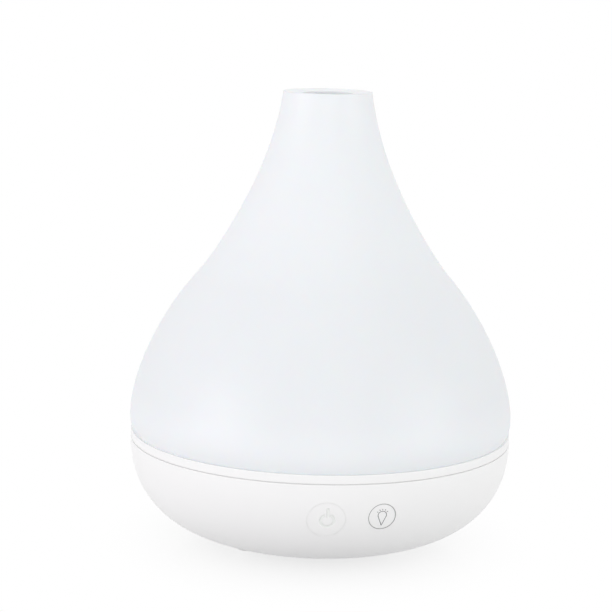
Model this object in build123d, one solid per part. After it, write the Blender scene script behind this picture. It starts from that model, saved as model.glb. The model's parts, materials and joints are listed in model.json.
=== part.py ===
from build123d import *
import os
from math import cos, radians, sin, sqrt

os.makedirs("parts", exist_ok=True)

# Ultrasonic cool mist humidifier: a teardrop body of bowl base, water tank and frosted cover.
# Millimetres, +Z up. The origin is the centre of the footprint on the table, the front is -Y.

# Outside shape
body_radius = 70.0          # rim of the bowl
total_height = 166.5        # table to the edge of the top
foot_height = 2.9           # the bowl's flat stands this far above the table
seam_height = 39.2          # top edge of the bowl
band_height = 3.3           # from the seam to the cover's lower edge
groove_height = 0.3         # shadow line under the tank's rim
groove_depth = 0.6
seam_fillet = 0.2           # lips of the shadow line and edge of the band
band_inset = 0.1            # the band stands this far inside the bowl's rim
bowl_flat = 24.0            # radius of the bowl's flat bottom
bowl_reach = 39.7           # how far the bottom's tangent pulls outwards
bowl_rise = 13.7            # how far the rim's tangent pulls downwards
base_wall = 2.2

# Frosted cover
cover_inset = 0.9           # the cover's foot stands this far inside the bowl's rim
cover_wall = 2.0
belly_pull = (4.0, 6.5)     # tangent at the foot, outwards and up
shoulder_inset = 2.67       # far end of the belly's tangent at the waist, inside the foot
shoulder_height = 76.77
waist_radius = 45.6         # where the belly turns into the neck
waist_height = 100.4
waist_pull = 6.0            # tangent of the neck at the waist
neck_pull = (3.9, 31.0)     # tangent at the top, outwards and down
top_radius = 16.1
top_fillet = 0.4
top_land = 1.0              # flat edge round the dished top
top_dish = 0.6              # the outlet lies this far below the edge
outlet_radius = 9.0
outlet_fillet = 0.5
spout_wall = 1.5
spout_length = 12.0
cover_gap = 0.6             # play between the cover and the tank's collar

# Water tank
tank_wall = 1.8
floor_height = 22.0         # inside of the tank at its centre
floor_slope = 2.0           # rise of the floor out to the basin's wall
basin_gap = 1.2             # between the basin's wall and the power inlet
basin_fillet = 6.0
shelf_rise = 1.0            # inside of the shallow outer step, above the seam
collar_rise = 11.5          # top of the wall under the inner lid, above the band
skirt_length = 2.5          # the tank's centring skirt inside the bowl
skirt_gap = 0.3
column_stub = 5.7           # tubes under the tank that take the base screws
boss_radius = 2.6           # bosses for the clamp's screws

# Air duct of the tank
duct_inner = 9.0
duct_wall = 1.8
duct_top = 56.0
fill_ring_height = 48.0     # full mark, a raised ring on the duct
fill_ring_size = 0.6
cap_overhang = 2.2          # the cap reaches this far past the duct's wall
cap_wall = 1.5
cap_rise = 3.0              # height of the cap's dome
cap_lift = 5.0              # free height between duct and cap
cap_plug = 5.0              # how deep the cap's collar goes into the duct
cap_collar_wall = 1.3
cap_windows = 3
plug_gap = 0.1

# Inner lid with the mist chimney
lid_wall = 1.6
lid_gap = 0.5               # play between the lid's skirt and the collar
lid_skirt = 5.0
lid_flange = 1.6
lid_shoulder = 20.0         # upward pull of the dome's edge
chimney_gap = 0.6           # play between the chimney and the spout
chimney_start = 116.0
chimney_pull = 34.0
chimney_sink = 8.5          # the chimney ends this far below the top

# Ultrasonic transducer under the tank's floor
disc_radius = 10.0
disc_thickness = 1.2
disc_lap = 1.5              # width of the tank's floor that covers the disc's edge
wafer_radius = 7.0
wafer_thickness = 0.5
seal_rim = 2.0              # seal outside the disc
seal_height = 3.2
seal_lip = 1.0
clamp_thickness = 1.0
clamp_lug = 3.0
lug_gap = 3.0               # from the seal to the middle of the clamp's screws
lug_count = 3

# Fan, blowing up into the duct
fan_size = 30.0
fan_thickness = 7.0
fan_gap = 4.5               # between the transducer's seal and the fan
fan_drop = 2.2              # between the tank's underside and the fan
fan_corner = 3.0
fan_rim = 1.2               # housing beside the bore at its thinnest
fan_hole_inset = 3.0
fan_tip_gap = 0.5
fan_floor = 1.2             # thickness of the spider that carries the bearing
spider_radius = 6.0
spider_arm = 1.6
spider_arms = 3
shaft_radius = 0.75
shaft_gap = 0.05
shaft_foot = 0.2            # clear below the shaft's end
bearing_wall = 0.85
bearing_floor = 0.4
bearing_top = 4.6
bearing_tube = 0.8          # wall of the frame's tube round the bearing
stator_radius = 5.5
stator_drop = 0.2           # stator below the tube's top
stator_slot = 1.4
pole_count = 4
hub_radius = 7.0
hub_wall = 1.0
hub_lift = 0.5              # hub above the spider
hub_sink = 0.4              # hub below the housing's face
boss_gap = 0.3              # between the hub's boss and the bearing
blade_count = 7
blade_thickness = 0.8
blade_root = (5.0, 48.0)    # chord and pitch in degrees at the hub
blade_tip = (7.0, 32.0)     # chord and pitch in degrees at the housing
grille_inset = 1.3          # air intake under the fan, inside the fan's bore
grille_slot = 2.0
grille_pitch = 4.0
plenum_wall = 1.0

# Button panel, an upright board behind the front wall
panel_turn = 8.3            # degrees; brings the mist button to the front
panel_width = 34.0
panel_height = 18.9
panel_drop = 3.0            # between the tank's step and the board
panel_gap = 4.5             # between the board and the guides
button_drop = 12.7          # middle of the mist button below the seam
button_spacing = 19.3
light_rise = 0.7            # middle of the light button above the mist button's
mist_radius = 6.5
light_radius = 4.7
button_gap = 0.25           # groove round each button
button_sink = 0.15          # the faces lie this far inside the bowl's surface
button_travel = 0.5
button_wall = 1.4
guide_wall = 1.3
guide_reach = 11.1          # inner end of the guides inside the bowl's rim
stop_gap = 0.3
stop_height = 1.2           # flange that holds the button behind its guide
stop_width = 1.3
stem_wall = 0.5             # the button's own stem round the switch's
switch_size = 6.0
switch_thickness = 2.0
plunger_radius = 1.7
plunger_gap = 0.06
plunger_in_switch = 0.8     # how deep the plunger stands in the switch at rest
panel_post_spacing = 14.0
panel_post_shift = 1.6

# Power inlet at the back
jack_drop = 12.2            # middle of the inlet below the seam
jack_inset = 7.0            # shoulder of the housing inside the bowl's rim
jack_size = (9.0, 11.0, 12.0)       # width, height, depth of the housing
jack_nose = 4.2
jack_bore = 3.15
jack_bore_depth = 4.5       # behind the shoulder
jack_pin_length = 8.0
jack_pin_radius = 1.0
jack_pocket = 10.0          # depth of the shell's pocket behind the shoulder
jack_wall = 1.5
jack_gap = 0.1

# Lamp board under the tank
lamp_board_gap = 3.0        # between the clamp's lugs and the board
lamp_board_width = 5.0
lamp_board_thickness = 1.0
lamp_board_drop = 2.6       # board's underside below the tank's
lamp_gap_angle = 90.0       # left open for the fan
lamp_count = 6
lamp_size = 3.6
lamp_thickness = 1.2
lens_radius = 1.4
lens_depth = 0.25
stake_count = 3
stake_radius = 0.8
stake_boss = 1.6
stake_tip = 0.6

# Main board and the parts on it; places are (out from the board's inner edge, along it)
board_thickness = 1.6
main_board_drop = 9.2       # board's underside below the tank's
main_board_length = 27.5
main_board_width = 44.0
main_board_gap = 3.0        # between the clamp's lugs and the board
main_board_edge = 2.3       # between the bowl's wall and the board's cut corners
board_hole_inset = 3.4
chip_place = (5.5, 0.0)
chip_size = (4.0, 5.0, 1.5)
chip_standoff = 0.2
chip_leg = (1.2, 0.4, 0.7)
chip_pitch = 1.27
chip_legs = 4               # on each side
can_places = [(22.5, -9.0), (16.0, -15.5)]
can_radius = 3.15
can_height = 6.4
can_groove = (0.3, 1.2, 1.8)        # depth, lower and upper edge
can_fillet = 0.4
coil_place = (14.0, -5.0)
coil_size = (7.3, 4.0)      # side, height
coil_fillet = 1.6
coil_groove = (2.9, 2.2, 0.5)       # outer and inner radius, depth
power_place = (14.0, 9.0)   # transistor and the heatsink on it
package_size = (6.5, 6.0, 2.3)
package_tab = (5.2, 1.6, 0.6)
sink_size = (10.0, 4.3)     # side, height
sink_foot = 1.2
fin_count = 5
fin_gap = 1.3
plug_places = [             # with the turn of the open side
    (4.5, 10.0, -90),
    (4.5, -10.0, -90),
    (9.0, -17.5, 0),
    (10.5, 18.2, 180),
    (19.5, 18.0, 180),
]
plug_size = (6.0, 4.4, 4.0)
plug_wall = 0.7

# Fasteners
post_radius = 2.3
small_shank = 1.0
small_head = 1.9
small_head_height = 1.4
small_bite = 4.0            # length in a post
large_shank = 1.4
large_head = 2.6
large_head_height = 2.0
screw_gap = 0.05
hole_spare = 1.0            # holes are this much deeper than their screws
tip_gap = 0.6               # between a screw's tip and the wall above it
recess_depth = 0.6
recess_length = 2.4         # cross recess in a head of unit radius
recess_width = 0.3

# Feet and the screw columns above them
column_ring = 30.0
column_count = 3
column_angle = 90.0         # one stands at the back
column_radius = 4.3
column_tip = 3.2
foot_radius = 4.5
foot_sink = 1.1             # depth of the foot's pocket
foot_fillet = 0.6
foot_gap = 0.1
head_pocket = 2.4

# Sizes that follow
base_floor = foot_height + base_wall
cover_foot = seam_height + band_height
cover_foot_radius = body_radius - cover_inset
collar_radius = cover_foot_radius - cover_wall - cover_gap
collar_height = cover_foot + collar_rise
shelf_height = seam_height + shelf_rise
tank_under = floor_height - tank_wall
jack_front = body_radius - jack_inset
basin_radius = jack_front - jack_size[2] - basin_gap - tank_wall
chimney_radius = outlet_radius - chimney_gap
seal_radius = disc_radius + seal_rim
wet_radius = disc_radius - disc_lap
lug_ring = seal_radius + lug_gap
lug_height = tank_under - seal_height
floor_flat = lug_ring + clamp_lug
fan_place = seal_radius + fan_gap + fan_size / 2
fan_angle = column_angle + 180 / column_count
fan_height = tank_under - fan_drop - fan_thickness
fan_bore = fan_size / 2 - fan_rim
bearing_radius = shaft_radius + shaft_gap + bearing_wall
bearing_post = bearing_radius + bearing_tube
hub_low = fan_floor + hub_lift
hub_top = fan_thickness - hub_sink
duct_centre = Rot(0, 0, fan_angle) * Pos(fan_place, 0, 0)
column_top = tank_under - column_stub
button_height = seam_height - button_drop
guide_depth = body_radius - guide_reach
panel_depth = guide_depth - panel_gap
panel_high = shelf_height - tank_wall - panel_drop
panel_frame = Rot(0, 0, panel_turn)
button_back = guide_depth - stop_gap - stop_height
switch_front = panel_depth + switch_thickness
jack_frame = Pos(0, 0, seam_height - jack_drop) * Rot(0, 0, 180)
lamp_board_inner = floor_flat + lamp_board_gap
lamp_board_outer = lamp_board_inner + lamp_board_width
lamp_board_low = tank_under - lamp_board_drop
lamp_board_top = lamp_board_low + lamp_board_thickness
main_board_inner = floor_flat + main_board_gap
main_board_low = tank_under - main_board_drop
main_board_top = main_board_low + board_thickness
board_frame = Rot(0, 0, column_angle - 180 / column_count)
head_shoulder = foot_height + foot_sink + head_pocket


def moved_in(points, inset):
    """Control points of a Bezier curve moved to the left of its course by inset."""
    legs = [(b - a).normalized() for a, b in zip(points, points[1:])]
    normals = [Vector(-leg.Y, leg.X) for leg in legs]
    mitres = [(m + n) / (1 + m.dot(n)) for m, n in zip(normals, normals[1:])]
    shifts = [normals[0], *mitres, normals[-1]]
    return [point + shift * inset for point, shift in zip(points, shifts)]


def lathe(*edges):
    """Solid turned about Z from a closed outline drawn as (radius, height)."""
    return revolve(make_face(Plane.XZ * (Curve() + list(edges))), Axis.Z)


def lathe_polygon(*corners):
    """Solid turned about Z from a polygon of (radius, height) corners."""
    return revolve(make_face(Plane.XZ * Polyline(*corners, close=True)), Axis.Z)


def rod(radius, low, high):
    """Upright cylinder on the Z axis."""
    return Pos(0, 0, low) * Cylinder(radius, high - low, align=(Align.CENTER, Align.CENTER, Align.MIN))


def ring(outer, inner, low, high):
    """Upright tube on the Z axis."""
    return rod(outer, low, high) - rod(inner, low, high)


def slab(width, depth, low, high):
    """Upright block centred on the Z axis."""
    return Pos(0, 0, low) * Box(width, depth, high - low, align=(Align.CENTER, Align.CENTER, Align.MIN))


def lying(radius, near, far):
    """Cylinder along Y that reaches from one distance in front of the Z axis to another."""
    return Rot(90, 0, 0) * rod(radius, near, far)


def lying_slab(width, height, near, far):
    """Block along Y that reaches from one distance in front of the Z axis to another."""
    return Rot(90, 0, 0) * slab(width, height, near, far)


def around(count, radius, start=0.0):
    """Places evenly spaced on a circle, each turned to face outwards."""
    return [Rot(0, 0, start + k * 360 / count) * Pos(radius, 0, 0) for k in range(count)]


def screw(shank, head, head_height, length):
    """Pan head screw: head above z = 0, shank below it, with a cross recess."""
    body = rod(head, 0, head_height) + rod(shank, -length, 0)
    slot = slab(head * recess_length / 2, head * recess_width, head_height - recess_depth, head_height)
    return body - slot - Rot(0, 0, 90) * slot


def small_screw(length):
    """Screw of the boards, the fan and the clamp."""
    return screw(small_shank, small_head, small_head_height, length)


def small_hole(low, high):
    """Hole for a small screw along the Z axis."""
    return rod(small_shank + screw_gap, low, high)


def columns():
    """Places of the screw columns, each over a foot."""
    return around(column_count, column_ring, column_angle)


def lugs():
    """Places of the clamp's screws."""
    return around(lug_count, lug_ring, column_angle)


def bowl_points(inset=0.0):
    """Control points of the bowl's outline from its flat bottom up to the rim."""
    corners = [
        Vector(bowl_flat, foot_height),
        Vector(bowl_flat + bowl_reach, foot_height),
        Vector(body_radius, seam_height - bowl_rise),
        Vector(body_radius, seam_height),
    ]
    return moved_in(corners, inset)


def bowl_space(inset):
    """Everything inside the bowl's outer surface moved in by inset, up to the seam."""
    points = bowl_points(inset)
    low, high = Vector(0, foot_height + inset), Vector(0, seam_height)
    return lathe(Line(low, points[0]), Bezier(*points), Line(points[-1], high), Line(high, low))


def bowl_radius(height, inset):
    """Radius of the bowl's outer surface moved in by inset, at a height."""
    side = Bezier(*bowl_points(inset))
    low, high = 0.0, 1.0
    while high - low > 1e-6:
        middle = (low + high) / 2
        low, high = (middle, high) if (side @ middle).Y < height else (low, middle)
    return (side @ low).X


def cover_points(inset=0.0):
    """Control points of the cover's belly and of its neck, moved in by inset."""
    foot, top = Vector(cover_foot_radius, cover_foot), Vector(top_radius, total_height)
    shoulder = Vector(cover_foot_radius - shoulder_inset, shoulder_height)
    waist = Vector(waist_radius, waist_height)
    rise = (waist - shoulder).normalized()
    belly = [foot, foot + Vector(*belly_pull), shoulder, waist]
    neck = [waist, waist + rise * waist_pull, top + Vector(neck_pull[0], -neck_pull[1]), top]
    return moved_in(belly, inset), moved_in(neck, inset)


def cover_space(inset, foot):
    """Everything inside the cover's outer surface moved in by inset, down to foot."""
    belly, neck = cover_points(inset)
    low, high = Vector(0, foot), Vector(0, neck[-1].Y)
    rim = Vector(belly[0].X, foot)
    side = [] if inset == 0 else [Line(rim, belly[0])]
    return lathe(Line(low, rim), *side, Bezier(*belly), Bezier(*neck), Line(neck[-1], high), Line(high, low))


def outer_cover():
    """Frosted teardrop shell with a dished top and a spout round the outlet."""
    outlet = total_height - top_dish
    spout_low, spout_high = total_height - spout_length, outlet - cover_wall
    cover = cover_space(0, cover_foot)
    cover = fillet(cover.edges().filter_by(GeomType.CIRCLE).sort_by(Axis.Z)[-1], top_fillet)
    land = (top_radius - top_land, total_height)
    cover -= lathe_polygon((0, outlet), (outlet_radius, outlet), land, (0, total_height))
    cover -= cover_space(cover_wall, cover_foot) & rod(body_radius, 0, spout_high)
    cover += ring(outlet_radius + spout_wall, outlet_radius, spout_low, spout_high)
    cover -= rod(outlet_radius, spout_low, total_height)
    edges = cover.edges().filter_by(GeomType.CIRCLE).filter_by_position(Axis.Z, outlet, outlet)
    return fillet(edges.sort_by(SortBy.RADIUS)[0], outlet_fillet)


def lid_points(inset=0.0):
    """Control points of the inner lid's dome, from its edge to the chimney."""
    edge = Vector(collar_radius - tank_wall - lid_gap, collar_height + lid_flange)
    chimney = Vector(chimney_radius, chimney_start)
    shoulder, waist = edge + Vector(0, lid_shoulder), chimney - Vector(0, chimney_pull)
    return moved_in([edge, shoulder, waist, chimney], inset)


def inner_lid():
    """Dome over the water with the chimney that slides inside the cover's spout."""
    outer, inner = lid_points(), lid_points(lid_wall)
    edge, low, high = outer[0], collar_height - lid_skirt, total_height - chimney_sink
    return lathe(
        Line((inner[0].X, low), (edge.X, low)),
        Line((edge.X, low), (edge.X, collar_height)),
        Line((edge.X, collar_height), (collar_radius, collar_height)),
        Line((collar_radius, collar_height), (collar_radius, edge.Y)),
        Line((collar_radius, edge.Y), edge),
        Bezier(*outer),
        Line(outer[-1], (outer[-1].X, high)),
        Line((outer[-1].X, high), (inner[-1].X, high)),
        Line((inner[-1].X, high), inner[-1]),
        Bezier(*inner),
        Line(inner[0], (inner[0].X, low)),
    )


def tank_profile():
    """Half section of the tank: basin, step, collar, rim band and centring skirt."""
    rim = body_radius - band_inset
    seat = body_radius - groove_depth
    skirt = body_radius - base_wall - skirt_gap
    outside = basin_radius + tank_wall
    shelf = shelf_height - tank_wall
    inner_collar = collar_radius - tank_wall
    lip = seam_height + groove_height
    outline = Polyline(
        (wet_radius, tank_under),
        (floor_flat, tank_under),
        (outside, tank_under + floor_slope),
        (outside, shelf),
        (skirt - tank_wall, shelf),
        (skirt - tank_wall, seam_height - skirt_length),
        (skirt, seam_height - skirt_length),
        (skirt, seam_height),
        (seat, seam_height),
        (seat, lip),
        (rim, lip),
        (rim, cover_foot),
        (collar_radius, cover_foot),
        (collar_radius, collar_height),
        (inner_collar, collar_height),
        (inner_collar, shelf_height),
        (basin_radius, shelf_height),
        (basin_radius, floor_height + floor_slope),
        (floor_flat, floor_height),
        (wet_radius, floor_height),
        close=True,
    )
    section = make_face(Plane.XZ * outline)
    bends = [(outside, tank_under + floor_slope), (basin_radius, floor_height + floor_slope)]
    for corners, radius in ((bends, basin_fillet), ([(rim, lip), (rim, cover_foot)], seam_fillet)):
        points = [section.vertices().sort_by_distance((r, 0, z))[0] for r, z in corners]
        section = fillet(points, radius)
    return section


def water_tank():
    """Tank with its air duct, fan plenum, transducer seat and screw bosses."""
    tank = revolve(tank_profile(), Axis.Z)
    half, high = tank_wall / 2, floor_height + floor_slope
    wet = lathe_polygon(
        (0, tank_under + half),
        (floor_flat, tank_under + half),
        (basin_radius + half, tank_under + floor_slope + half),
        (basin_radius + half, duct_top),
        (0, duct_top),
    )
    dry = rod(body_radius, 0, high) - wet
    duct = rod(duct_inner + duct_wall, tank_under, duct_top)
    mark_top = fill_ring_height + fill_ring_size
    mark = ring(duct_inner + duct_wall + fill_ring_size, duct_inner, fill_ring_height, mark_top)
    tank += (duct_centre * (duct + mark)) & wet
    tank += (duct_centre * rod(fan_bore + plenum_wall, fan_height + fan_thickness, high)) & dry
    tank -= (duct_centre * rod(fan_bore, 0, high)) & dry
    tank -= duct_centre * rod(duct_inner, fan_height + fan_thickness, duct_top)
    for place in columns():
        tank += (place * rod(column_tip, column_top, floor_height)) & dry
        tank -= place * rod(large_shank + screw_gap, column_top, tank_under)
    for place in lugs():
        tank += place * rod(boss_radius, lug_height, tank_under)
        tank -= place * small_hole(lug_height, tank_under)
    for place in lamp_stakes():
        tank += (place * rod(stake_boss, lamp_board_top, floor_height)) & dry
        tank += place * rod(stake_radius, lamp_board_low - stake_tip, lamp_board_top)
    return tank


def lamp_places(count):
    """Places evenly spread over the arc of the lamp board, between its ends."""
    middle = (lamp_board_inner + lamp_board_outer) / 2
    start, arc = fan_angle + lamp_gap_angle / 2, 360 - lamp_gap_angle
    return [Rot(0, 0, start + arc * (k + 0.5) / count) * Pos(middle, 0, 0) for k in range(count)]


def lamp_stakes():
    """Places of the heat stakes that hold the lamp board."""
    return lamp_places(stake_count)


def lamp_board():
    """C-shaped board under the tank, open where the fan is."""
    board = ring(lamp_board_outer, lamp_board_inner, lamp_board_low, lamp_board_top)
    half, reach = radians(lamp_gap_angle / 2), 2 * lamp_board_outer
    side = reach * sin(half)
    wedge = make_face(Polyline((0, 0), (reach * cos(half), -side), (reach * cos(half), side), close=True))
    board -= Rot(0, 0, fan_angle) * Pos(0, 0, lamp_board_low) * extrude(wedge, lamp_board_thickness)
    for place in lamp_stakes():
        board -= place * rod(stake_radius + screw_gap, lamp_board_low, lamp_board_top)
    return board


def lamps():
    """Surface mounted lamps, each a square package with a sunk lens, between the stakes."""
    high = lamp_board_top + lamp_thickness
    lamp = slab(lamp_size, lamp_size, lamp_board_top, high) - rod(lens_radius, high - lens_depth, high)
    return Part() + [place * lamp for place in lamp_places(lamp_count * 2)[::2]]


def duct_cap():
    """Splash cap: a domed plate on a windowed collar that plugs into the duct."""
    outer, cap_radius = duct_inner - plug_gap, duct_inner + duct_wall + cap_overhang
    low, plate = duct_top - cap_plug, duct_top + cap_lift
    collar = ring(outer, outer - cap_collar_wall, low, plate)
    for window in around(cap_windows, outer):
        collar -= window * slab(outer, outer, duct_top, plate)
    sphere = (cap_radius ** 2 + cap_rise ** 2) / (2 * cap_rise)
    dome = Pos(0, 0, plate + cap_rise - sphere) * Sphere(sphere) & rod(cap_radius, plate, plate + cap_rise)
    lip = ring(cap_radius, cap_radius - cap_wall, plate - cap_wall, plate)
    return duct_centre * (collar + dome + lip)


def transducer_seal():
    """Rubber ring that grips the disc's edge and presses against the tank."""
    seal = ring(seal_radius, wet_radius, lug_height, tank_under)
    return seal - rod(disc_radius, lug_height + seal_lip, lug_height + seal_lip + disc_thickness)


def transducer_disc():
    """Piezo disc: a metal plate with a smaller ceramic wafer below it."""
    low = lug_height + seal_lip
    return rod(disc_radius, low, low + disc_thickness) + rod(wafer_radius, low - wafer_thickness, low)


def transducer_clamp():
    """Pressed ring with three lugs under the seal."""
    low = lug_height - clamp_thickness
    clamp = rod(seal_radius, low, lug_height)
    for place in lugs():
        clamp += place * rod(clamp_lug, low, lug_height)
        clamp += place * Pos(-clamp_lug, 0, 0) * slab(2 * clamp_lug, 2 * clamp_lug, low, lug_height)
    clamp -= rod(wet_radius, low, lug_height)
    for place in lugs():
        clamp -= place * small_hole(low, lug_height)
    return clamp


def transducer_screws():
    """Three screws driven up through the clamp's lugs."""
    one = small_screw(clamp_thickness + seal_height - tip_gap)
    one = Pos(0, 0, lug_height - clamp_thickness) * Rot(180, 0, 0) * one
    return Part() + [place * one for place in lugs()]


def fan_corners():
    """Places of the fan's four corner holes, at the height of its underside."""
    half = fan_size / 2 - fan_hole_inset
    spots = [(x, y) for x in (-half, half) for y in (-half, half)]
    return [duct_centre * Pos(x, y, fan_height) for x, y in spots]


def fan_frame():
    """Square housing with a round bore, corner holes and a spider for the bearing."""
    frame = slab(fan_size, fan_size, 0, fan_thickness)
    frame = fillet(frame.edges().filter_by(Axis.Z), fan_corner)
    frame -= rod(fan_bore, 0, fan_thickness)
    for arm in around(spider_arms, fan_bore / 2, 180 / spider_arms):
        frame += arm * slab(fan_bore + fan_rim, spider_arm, 0, fan_floor)
    frame += rod(spider_radius, 0, fan_floor) + rod(bearing_post, 0, bearing_top)
    frame -= rod(bearing_radius, bearing_floor, bearing_top)
    frame = duct_centre * Pos(0, 0, fan_height) * frame
    for corner in fan_corners():
        frame -= corner * small_hole(0, fan_thickness)
    return frame


def fan_bearing():
    """Brass sleeve in the frame's tube."""
    sleeve = ring(bearing_radius, shaft_radius + shaft_gap, bearing_floor, bearing_top)
    return duct_centre * Pos(0, 0, fan_height) * sleeve


def fan_shaft():
    """Steel shaft pressed into the rotor's boss."""
    shaft = rod(shaft_radius, bearing_floor + shaft_foot, hub_top - hub_wall / 2)
    return duct_centre * Pos(0, 0, fan_height) * shaft


def fan_stator():
    """Wound poles round the bearing's tube."""
    stator = ring(stator_radius, bearing_post, fan_floor, bearing_top - stator_drop)
    for slot in around(pole_count, stator_radius, 180 / pole_count):
        stator -= slot * slab(stator_radius, stator_slot, fan_floor, bearing_top)
    return duct_centre * Pos(0, 0, fan_height) * stator


def fan_blade():
    """Twisted blade from inside the hub's wall out to the tip circle."""
    middle = (hub_low + hub_top) / 2
    sections = []
    for radius, (chord, pitch) in ((hub_radius - hub_wall / 2, blade_root), (fan_bore, blade_tip)):
        along = (0, cos(radians(pitch)), sin(radians(pitch)))
        plane = Plane(origin=(radius, 0, middle), x_dir=along, z_dir=(1, 0, 0))
        sections.append(plane * Rectangle(chord, blade_thickness))
    return loft(sections) & rod(fan_bore - fan_tip_gap, 0, fan_thickness)


def fan_rotor():
    """Hub cup over the stator with its ring of twisted blades."""
    rotor = rod(hub_radius, hub_low, hub_top)
    for k in range(blade_count):
        rotor += Rot(0, 0, k * 360 / blade_count) * fan_blade()
    rotor -= rod(hub_radius - hub_wall, hub_low, hub_top - hub_wall)
    rotor += rod(bearing_radius, bearing_top + boss_gap, hub_top - hub_wall)
    rotor -= rod(shaft_radius, hub_low, hub_top - hub_wall / 2)
    return duct_centre * Pos(0, 0, fan_height) * rotor


def fan_screws():
    """Four screws that hold the fan down on the bowl's posts."""
    one = Pos(0, 0, fan_thickness) * small_screw(fan_thickness + small_bite)
    return Part() + [corner * one for corner in fan_corners()]


def panel_places():
    """Places of the mist button and the light button on the panel, at the axis of the body."""
    half = button_spacing / 2
    mist, light = Pos(-half, 0, button_height), Pos(half, 0, button_height + light_rise)
    return [panel_frame * mist, panel_frame * light]


def panel_posts():
    """Places of the two posts that carry the button board."""
    half = panel_post_spacing / 2
    return [panel_frame * Pos(panel_post_shift, 0, button_height + z) for z in (-half, half)]


def push_button(place, radius):
    """Hollow cap trimmed to the bowl's surface, with a stop flange and a stem."""
    cap = (place * lying(radius, button_back, body_radius)) & bowl_space(button_sink)
    cap += place * lying(radius + stop_width, button_back, button_back + stop_height)
    hollow = bowl_space(button_sink + button_wall)
    cap -= (place * lying(radius - button_wall, button_back, body_radius)) & hollow
    stem = place * lying(plunger_radius + stem_wall, button_back, body_radius)
    return cap + (stem & bowl_space(button_sink + button_wall / 2))


def plunger(place):
    """Moving stem of a switch, touching the button's own stem."""
    return place * lying(plunger_radius, switch_front - plunger_in_switch, button_back)


def switch_bodies():
    """Two push switches on the front of the button board."""
    depth = plunger_in_switch + button_travel + stop_gap
    one = lying_slab(switch_size, switch_size, panel_depth, switch_front)
    one -= lying(plunger_radius + plunger_gap, switch_front - depth, switch_front)
    return Part() + [place * one for place in panel_places()]


def button_board():
    """Upright board behind the buttons."""
    board = lying_slab(panel_width, panel_height, panel_depth - board_thickness, panel_depth)
    board = fillet(board.edges().filter_by(Axis.Y), post_radius)
    board = panel_frame * Pos(0, 0, panel_high - panel_height / 2) * board
    for place in panel_posts():
        board -= place * lying(small_shank + screw_gap, panel_depth - board_thickness, panel_depth)
    return board


def panel_screws():
    """Two screws through the button board into its posts."""
    one = Rot(-90, 0, 0) * small_screw(board_thickness + small_bite)
    one = Pos(0, board_thickness - panel_depth, 0) * one
    return Part() + [place * one for place in panel_posts()]


def dc_jack():
    """Barrel socket: block housing with a round nose that ends in the bowl's surface."""
    width, height, depth = jack_size
    jack = lying_slab(width, height, jack_front - depth, jack_front)
    jack += lying(jack_nose, jack_front, body_radius)
    jack -= lying(jack_bore, jack_front - jack_bore_depth, body_radius)
    return (jack_frame * jack) & bowl_space(button_sink)


def dc_jack_pin():
    """Centre contact of the socket."""
    start = jack_front - jack_bore_depth
    return jack_frame * lying(jack_pin_radius, start, start + jack_pin_length)


def board_posts():
    """Places of the three posts that carry the main board."""
    side = main_board_width / 2 - board_hole_inset
    inner = main_board_inner + board_hole_inset
    outer = main_board_inner + main_board_length - board_hole_inset
    return [board_frame * Pos(x, y, 0) for x, y in ((inner, -side), (inner, side), (outer, 0))]


def main_board():
    """Drive board, its outer corners cut to follow the bowl."""
    board = slab(main_board_length, main_board_width, main_board_low, main_board_top)
    board = board_frame * Pos(main_board_inner + main_board_length / 2, 0, 0) * board
    board &= rod(bowl_radius(main_board_low, base_wall) - main_board_edge, main_board_low, main_board_top)
    for place in board_posts():
        board -= place * small_hole(main_board_low, main_board_top)
    return board


def board_screws():
    """Three screws that hold the main board down on its posts."""
    one = Pos(0, 0, main_board_top) * small_screw(board_thickness + small_bite)
    return Part() + [place * one for place in board_posts()]


def on_board(out, along, turn=0.0):
    """Place on top of the main board, out from its inner edge and along it."""
    return board_frame * Pos(main_board_inner + out, along, main_board_top) * Rot(0, 0, turn)


def control_chip():
    """Small outline package with bent legs on both long sides."""
    width, length, height = chip_size
    reach, thickness, bend = chip_leg
    chip = slab(width, length, chip_standoff, height)
    for side in (-1, 1):
        for k in range(chip_legs):
            spot = Pos(side * (width + reach) / 2, (k - (chip_legs - 1) / 2) * chip_pitch, 0)
            chip += spot * slab(reach, thickness, 0, bend)
    return on_board(*chip_place) * chip


def capacitors():
    """Electrolytic cans with a rolled groove."""
    depth, low, high = can_groove
    can = rod(can_radius, 0, can_height) - ring(can_radius, can_radius - depth, low, high)
    can = fillet(can.edges().sort_by(Axis.Z)[-1], can_fillet)
    return Part() + [on_board(*place) * can for place in can_places]


def power_inductor():
    """Shielded coil: square block with rounded corners and a round core."""
    side, height = coil_size
    outer, inner, depth = coil_groove
    block = fillet(slab(side, side, 0, height).edges().filter_by(Axis.Z), coil_fillet)
    return on_board(*coil_place) * (block - ring(outer, inner, height - depth, height))


def drive_transistor():
    """Power package with its metal tab."""
    width, length, height = package_size
    tab_width, tab_length, tab_height = package_tab
    body = Pos(0, -tab_length / 2, 0) * slab(width, length, 0, height)
    tab = Pos(0, length / 2, 0) * slab(tab_width, tab_length, 0, tab_height)
    return on_board(*power_place) * (body + tab)


def heatsink():
    """Finned block on the transistor."""
    side, height = sink_size
    low = package_size[2]
    block = slab(side, side, low, low + height)
    pitch = (side + fin_gap) / fin_count
    for k in range(fin_count - 1):
        gap = Pos((k - (fin_count - 2) / 2) * pitch, 0, 0)
        block -= gap * slab(fin_gap, side, low + sink_foot, low + height)
    return on_board(*power_place) * block


def plug():
    """Low wire socket, open at its front."""
    length, depth, height = plug_size
    pocket = slab(length - 2 * plug_wall, depth, plug_wall, height - plug_wall)
    return slab(length, depth, 0, height) - Pos(0, -plug_wall, 0) * pocket


def connectors():
    """Sockets for the fan, transducer, panel, lamp and power leads."""
    return Part() + [on_board(*place) * plug() for place in plug_places]


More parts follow.
